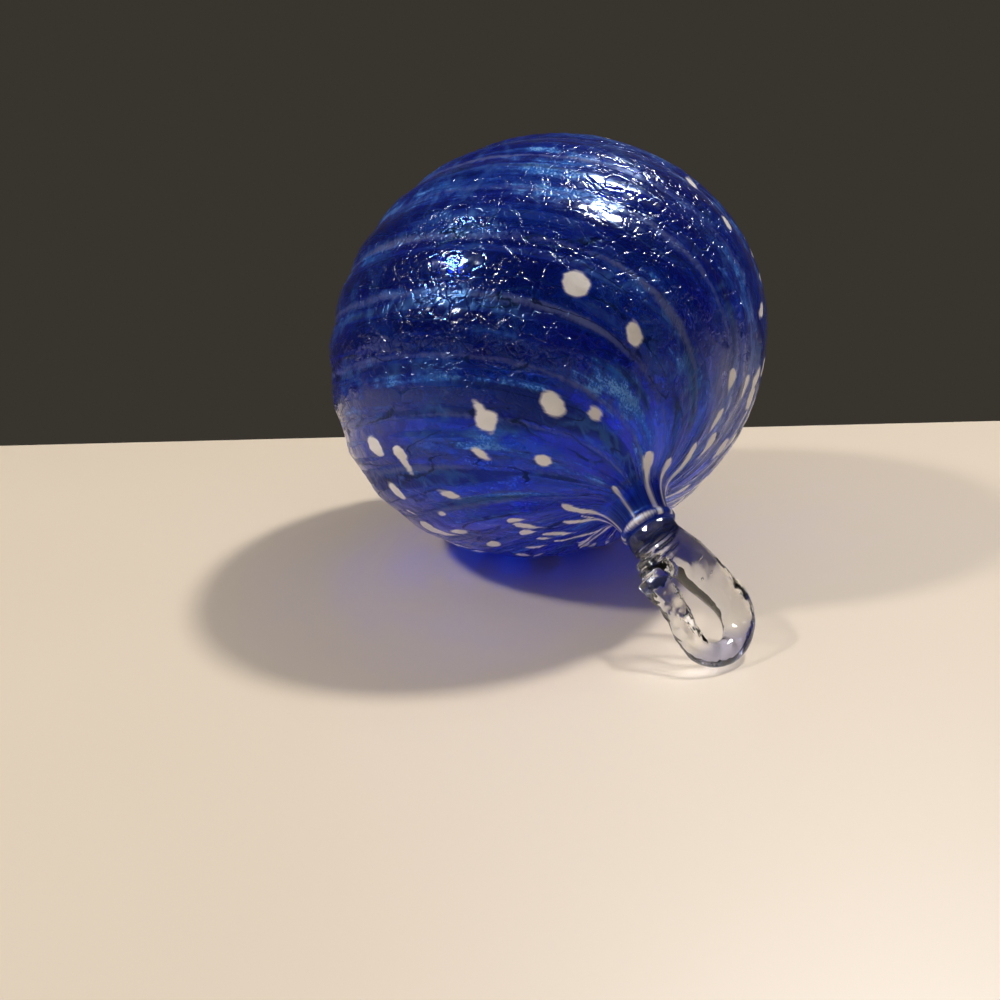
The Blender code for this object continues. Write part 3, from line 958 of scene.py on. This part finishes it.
def crackled_cobalt_glass():
    """Cobalt glass, optic-moulded, twisted, quenched and blown out again.

    See-through violet blue with a milky bloom where the crackle is dense, painted azure glints where
    light catches the crackle, thin dark cracks along the twist, a lilac line down each furrow and opaque
    cream chips melted into the skin.
    The skin is fire-polished, so the crackle breaks each reflection into bright scraps.
    """
    material, tree = new_material("crackled cobalt blown glass")
    drawn = add(tree, "Attribute", attribute_name="drawn").outputs["Vector"]
    even = add(tree, "Attribute", attribute_name="even").outputs["Vector"]
    found = skin_patterns(tree, drawn, even)
    haze = haze_share(tree, found)
    height = fine_crackle(tree, even)
    crackled = add(tree, "Bump", {"Strength": 1.0, "Distance": MM, "Height": height})
    softened = add(tree, "Bump", {"Strength": 0.30, "Distance": MM, "Height": height})
    clear = add(tree, "BsdfPrincipled", {
        "Base Color": clear_tint(tree, drawn, found["thin_colour"]), "Roughness": 0.05, "IOR": 1.5,
        "Transmission Weight": 1.0, "Normal": softened, "Specular Tint": linear("2888ff"),
        "Coat Weight": 0.45, "Coat Roughness": 0.13, "Coat IOR": 1.5, "Coat Normal": crackled})
    hazy = frosted_skin(tree, haze_colour(tree, drawn, found), found["cream"], crackled)
    through = light_through(tree, drawn, haze, found["thin_colour"])
    glass = add(tree, "MixShader", {0: haze, 1: seen_by_table(tree, clear, through), 2: hazy})
    lamp_pass(tree, glass, through)
    return material


def inner_skin():
    """The inside of the ball, fire-smooth: it bends and mirrors light but adds no colour of its own."""
    material, tree = new_material("smooth inside of the blown glass")
    place = add(tree, "TexCoord").outputs["Object"]
    ripple = add(tree, "TexNoise", {"Vector": place, "Scale": 1.2 / (CM * MM)})
    bump = add(tree, "Bump", {"Strength": 0.3, "Distance": 0.5 * MM, "Height": ripple})
    clear = add(tree, "BsdfPrincipled", {
        "Base Color": linear("ffffff"), "Roughness": 0.02, "IOR": 1.5, "Transmission Weight": 1.0,
        "Normal": bump})
    lamp_pass(tree, seen_by_table(tree, clear, linear("ffffff")), linear("ffffff"))
    return material


def clear_drawn_glass():
    """Soda-lime glass drawn from the furnace: colourless, fire-polished, with faint cords in it.

    Where it is stuck on the ball it has picked up cobalt, so its root is dark blue.
    """
    material, tree = new_material("clear drawn glass")
    pulled = add(tree, "Attribute", attribute_name="pulled").outputs["Vector"]
    lengthwise = add(tree, "VectorMath", {0: pulled, 1: (0.22, 1.0, 1.0)}, operation="MULTIPLY")
    cords = add(tree, "TexNoise", {"Vector": lengthwise, "Scale": 8 / CM, "Detail": 1.0})
    bump = add(tree, "Bump", {"Strength": 0.25, "Distance": 0.5 * MM, "Height": cords})
    # the tinge beyond the root, and painted shade at the tip
    tinge_and_tip_shade = add(tree, "Attribute", attribute_name="cobalt_tinge_and_tip_shade").outputs["Fac"]
    body = add(tree, "Mix", {"Factor": tinge_and_tip_shade, "A": linear("fafaf8"), "B": linear("4858c0")}, **COLOURS)
    clear = add(tree, "BsdfPrincipled", {
        "Base Color": body, "Roughness": 0.04, "IOR": 1.5, "Transmission Weight": 1.0, "Normal": bump})
    stained = add(tree, "BsdfPrincipled", {
        "Base Color": linear("16286e"), "Roughness": 0.12, "IOR": 1.5, "Normal": bump})
    stain = add(tree, "Attribute", attribute_name="cobalt_stain").outputs["Fac"]
    both = add(tree, "MixShader", {0: stain, 1: clear, 2: stained})
    edge_on = add(tree, "LayerWeight", {"Blend": 0.5}).outputs["Facing"]
    through = add(tree, "MapRange", {"Value": edge_on, "From Min": 0.15, "From Max": 0.75,
                                     "To Min": 0.92, "To Max": 0.45})
    grey = add(tree, "CombineColor", {"Red": through, "Green": through, "Blue": through})
    lamp_pass(tree, seen_by_table(tree, both, grey), grey)
    return material


def pale_table():
    """Painted board, smooth and matt, with a very faint mottle, nine patches to the metre."""
    material, tree = new_material("pale table")
    place = add(tree, "TexCoord").outputs["Object"]
    mottle = add(tree, "TexNoise", {"Vector": place, "Scale": 9.0})
    colour = add(tree, "Mix", {"Factor": mottle, "A": linear("dccdb8"), "B": linear("e2d4c1")}, **COLOURS)
    surface = add(tree, "BsdfPrincipled", {"Base Color": colour, "Roughness": 0.5})
    add(tree, "OutputMaterial", {"Surface": surface})
    return material


# ---- stage

TABLE_SIZE = (0.9, 1.6, 0.03)            # metres
TABLE_EDGE_TURN = math.radians(68.7)     # direction that the table's far edge runs in
TABLE_EDGE_AWAY = 0.0714                 # from the ball's resting spot to that edge
TABLE_GAP = 0.0002                       # the glass rests this far above the table top

CAMERA_PLACE = (0.2106, -0.1213, 0.1099)
CAMERA_AZIMUTH = math.radians(61.7)
CAMERA_DOWNWARDS = math.radians(22.5)
CAMERA_ROLL = math.radians(0.9)
CAMERA_LENS = 43.2
SENSOR_WIDTH = 36.0

LAMPS_AWAY = 0.8
LAMPS = (                                # name, direction, size, power, colour, seen in reflections only
    ("key lamp", (-0.04, 0.43, 0.90), 0.07, 4.0, "fffaf4", False),
    ("second lamp", (-0.08, -0.70, 0.71), 0.07, 2.6, "fffaf4", False),
    ("key shine", (-0.09, 0.49, 1.07), 0.21, 13.0, "f8f8ff", True),
    ("second shine", (-0.08, -0.70, 0.71), 0.17, 11.0, "f8f8ff", True),
)


def make_table(material):
    """A pale table top whose far edge passes a little behind the ball."""
    length, width, thickness = TABLE_SIZE
    builder = bmesh.new()
    bmesh.ops.create_cube(builder, size=1.0)
    bmesh.ops.scale(builder, vec=TABLE_SIZE, verts=builder.verts)
    middle = (length / 2 - TABLE_EDGE_AWAY, 0, -thickness / 2 - TABLE_GAP)
    bmesh.ops.translate(builder, vec=middle, verts=builder.verts)
    turn = Matrix.Rotation(TABLE_EDGE_TURN - math.pi / 2, 4, "Z")
    bmesh.ops.transform(builder, matrix=turn, verts=builder.verts)
    table = place_mesh("table", builder, (material,))
    table.data.shade_flat()


def make_camera():
    data = bpy.data.cameras.new("camera")
    data.lens = CAMERA_LENS
    data.sensor_width = SENSOR_WIDTH
    data.clip_start = 0.01
    camera = bpy.data.objects.new("camera", data)
    look = Matrix.Rotation(CAMERA_AZIMUTH, 4, "Z") @ Matrix.Rotation(math.pi / 2 - CAMERA_DOWNWARDS, 4, "X")
    look = look @ Matrix.Rotation(CAMERA_ROLL, 4, "Z")
    camera.matrix_world = Matrix.Translation(CAMERA_PLACE) @ look
    bpy.context.collection.objects.link(camera)
    bpy.context.scene.camera = camera


def make_lamp(name, direction, size, power, colour, shine_only):
    data = bpy.data.lights.new(name, "AREA")
    data.shape = "DISK"
    data.size = size
    data.energy = power
    data.color = linear(colour)[:3]
    lamp = bpy.data.objects.new(name, data)
    toward = Vector(direction).normalized()
    lamp.location = toward * LAMPS_AWAY
    lamp.rotation_euler = toward.to_track_quat("Z", "Y").to_euler()
    lamp.visible_diffuse = not shine_only
    lamp.visible_transmission = not shine_only
    bpy.context.collection.objects.link(lamp)


def make_surroundings():
    """A charcoal room: what is seen in and through the glass is dark, and soft light falls from above."""
    world = bpy.data.worlds.new("studio")
    world.use_nodes = True
    tree = world.node_tree
    tree.nodes.clear()
    around = add(tree, "TexCoord").outputs["Generated"]
    toward = add(tree, "VectorMath", {0: around, 1: Vector((0.30, -0.17, 0.94))}, operation="DOT_PRODUCT")
    front = add(tree, "MapRange", {"Value": toward, "From Min": 0.40, "From Max": 0.88})
    glow = add(tree, "Mix", {"Factor": front, "A": linear("1a1816"), "B": linear("9a9794")}, **COLOURS)
    bounced = add(tree, "LightPath").outputs["Is Diffuse Ray"]
    colour = add(tree, "Mix", {"Factor": bounced, "A": linear("38342e"), "B": glow}, **COLOURS)
    back = add(tree, "Background", {"Color": colour, "Strength": 1.0})
    add(tree, "OutputWorld", {"Surface": back})
    bpy.context.scene.world = world


def main():
    scene = bpy.context.scene
    scene.view_settings.view_transform = "Standard"
    scene.cycles.use_denoising = True
    scene.cycles.max_bounces = 16
    scene.cycles.transmission_bounces = 14
    scene.cycles.transparent_max_bounces = 16

    cobalt = crackled_cobalt_glass()
    inside = inner_skin()
    clear = clear_drawn_glass()

    orb = make_orb_glass(cobalt, inside)
    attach(orb, "root")
    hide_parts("orb")

    loop = make_hanging_loop(clear)
    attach(loop, "root")
    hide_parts("hanging_loop")

    make_table(pale_table())
    make_camera()
    for lamp in LAMPS:
        make_lamp(*lamp)
    make_surroundings()


main()
